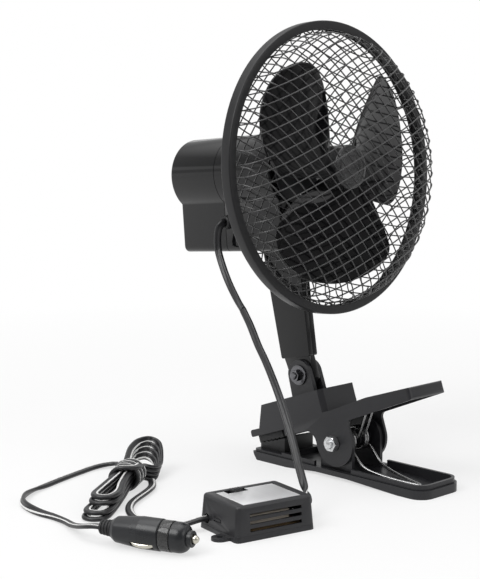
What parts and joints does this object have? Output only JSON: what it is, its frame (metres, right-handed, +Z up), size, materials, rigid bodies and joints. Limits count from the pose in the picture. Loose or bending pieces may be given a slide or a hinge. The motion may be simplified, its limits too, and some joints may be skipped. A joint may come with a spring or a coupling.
{
  "type": "clip fan",
  "caption": "Wire-guarded clip fan on a tilting arm and a sprung clip, with an in-line speed control and an accessory plug on a flat cord.",
  "frame": {"origin": "middle of the flat sole under the lower jaw of the clip, on the table", "axes": "+Z up, -Y is the way the fan blows and the clip's handles point, +Y is the way the jaws point, +X to the right seen from behind the jaws' handles"},
  "size_m": [0.3452, 0.251, 0.3259],
  "materials": {
    "gloss_black": "glossy moulded",
    "satin_black": "satin moulded",
    "black_wire": "semi-gloss coated",
    "plated_steel": "zinc plated",
    "black_rubber": "matt",
    "clear_plastic": "translucent",
    "ceramic": "unglazed",
    "board": "laminate",
    "cord_vinyl": "satin, one white stripe"
  },
  "bodies": {
    "lower_lever": {"lower_jaw": "satin_black", "lower_pad": "black_rubber", "pivot_bolt": "plated_steel", "pivot_nut": "plated_steel", "clip_spring": "plated_steel", "cord_lower": "cord_vinyl", "cord_tail": "cord_vinyl", "cord_to_plug": "cord_vinyl", "cord_hank": "cord_vinyl", "control_cover": "satin_black", "control_base": "satin_black", "label_plate": "plated_steel", "circuit_board": "board", "speed_resistor": "ceramic", "switch_body": "satin_black", "plug_body": "satin_black", "plug_clear_ring": "clear_plastic", "plug_tip_cap": "satin_black", "plug_strain_relief": "black_rubber"},
    "upper_lever": {"upper_jaw": "satin_black", "upper_pad": "black_rubber", "tilt_bolt": "plated_steel", "tilt_nut": "plated_steel", "tilt_washer_nut": "plated_steel", "tilt_washer_head": "plated_steel"},
    "head": {"arm_tongue": "gloss_black", "outer_arm": "gloss_black", "front_housing": "gloss_black", "rear_housing": "gloss_black", "housing_screw_1": "plated_steel", "housing_screw_2": "plated_steel", "cord_outlet": "black_rubber", "guard_ring": "satin_black", "front_grille": "black_wire", "rear_grille": "black_wire", "grille_clamp_plate": "satin_black", "clamp_screw_1": "plated_steel", "clamp_screw_2": "plated_steel", "clamp_screw_3": "plated_steel", "motor": "plated_steel", "cord_upper": "cord_vinyl"},
    "rotor": {"propeller": "gloss_black", "motor_shaft": "plated_steel"},
    "knob": {"switch_knob": "satin_black"},
    "centre_pin": {"plug_centre_pin": "plated_steel"},
    "contact_left": {"plug_contact_left": "plated_steel"},
    "contact_right": {"plug_contact_right": "plated_steel"}
  },
  "joints": [
    {"name": "clip_hinge", "type": "hinge", "parent": "lower_lever", "child": "upper_lever", "pos_m": [0, -0.06, 0.0257], "axis": [1, 0, 0], "range_deg": [0, 28], "stiffness_Nm_per_rad": 2, "springref_deg": -28.65, "deforming": ["clip_spring"]},
    {"name": "tilt_hinge", "type": "hinge", "parent": "upper_lever", "child": "head", "pos_m": [0, -0.013, 0.067], "axis": [1, 0, 0], "range_deg": [-30, 40]},
    {"name": "propeller_spin", "type": "hinge", "parent": "head", "child": "rotor", "pos_m": [0, -0.0413, 0.2213], "axis": [0, -0.9962, 0.0872], "continuous": true},
    {"name": "switch_slide", "type": "slide", "parent": "lower_lever", "child": "knob", "axis": [0.9803, -0.1977, 0], "range_m": [-0.004, 0.004]},
    {"name": "pin_press", "type": "slide", "parent": "lower_lever", "child": "centre_pin", "axis": [-0.3746, 0.9272, 0], "range_m": [0, 0.0025], "stiffness_N_per_m": 800, "springref_m": -0.001},
    {"name": "contact_left_press", "type": "slide", "parent": "lower_lever", "child": "contact_left", "axis": [0.7405, 0.2992, 0.6018], "range_m": [0, 0.0012], "stiffness_N_per_m": 1500, "springref_m": -0.0005},
    {"name": "contact_right_press", "type": "slide", "parent": "lower_lever", "child": "contact_right", "axis": [-0.7405, -0.2992, -0.6018], "range_m": [0, 0.0012], "stiffness_N_per_m": 1500, "springref_m": -0.0005}
  ]
}
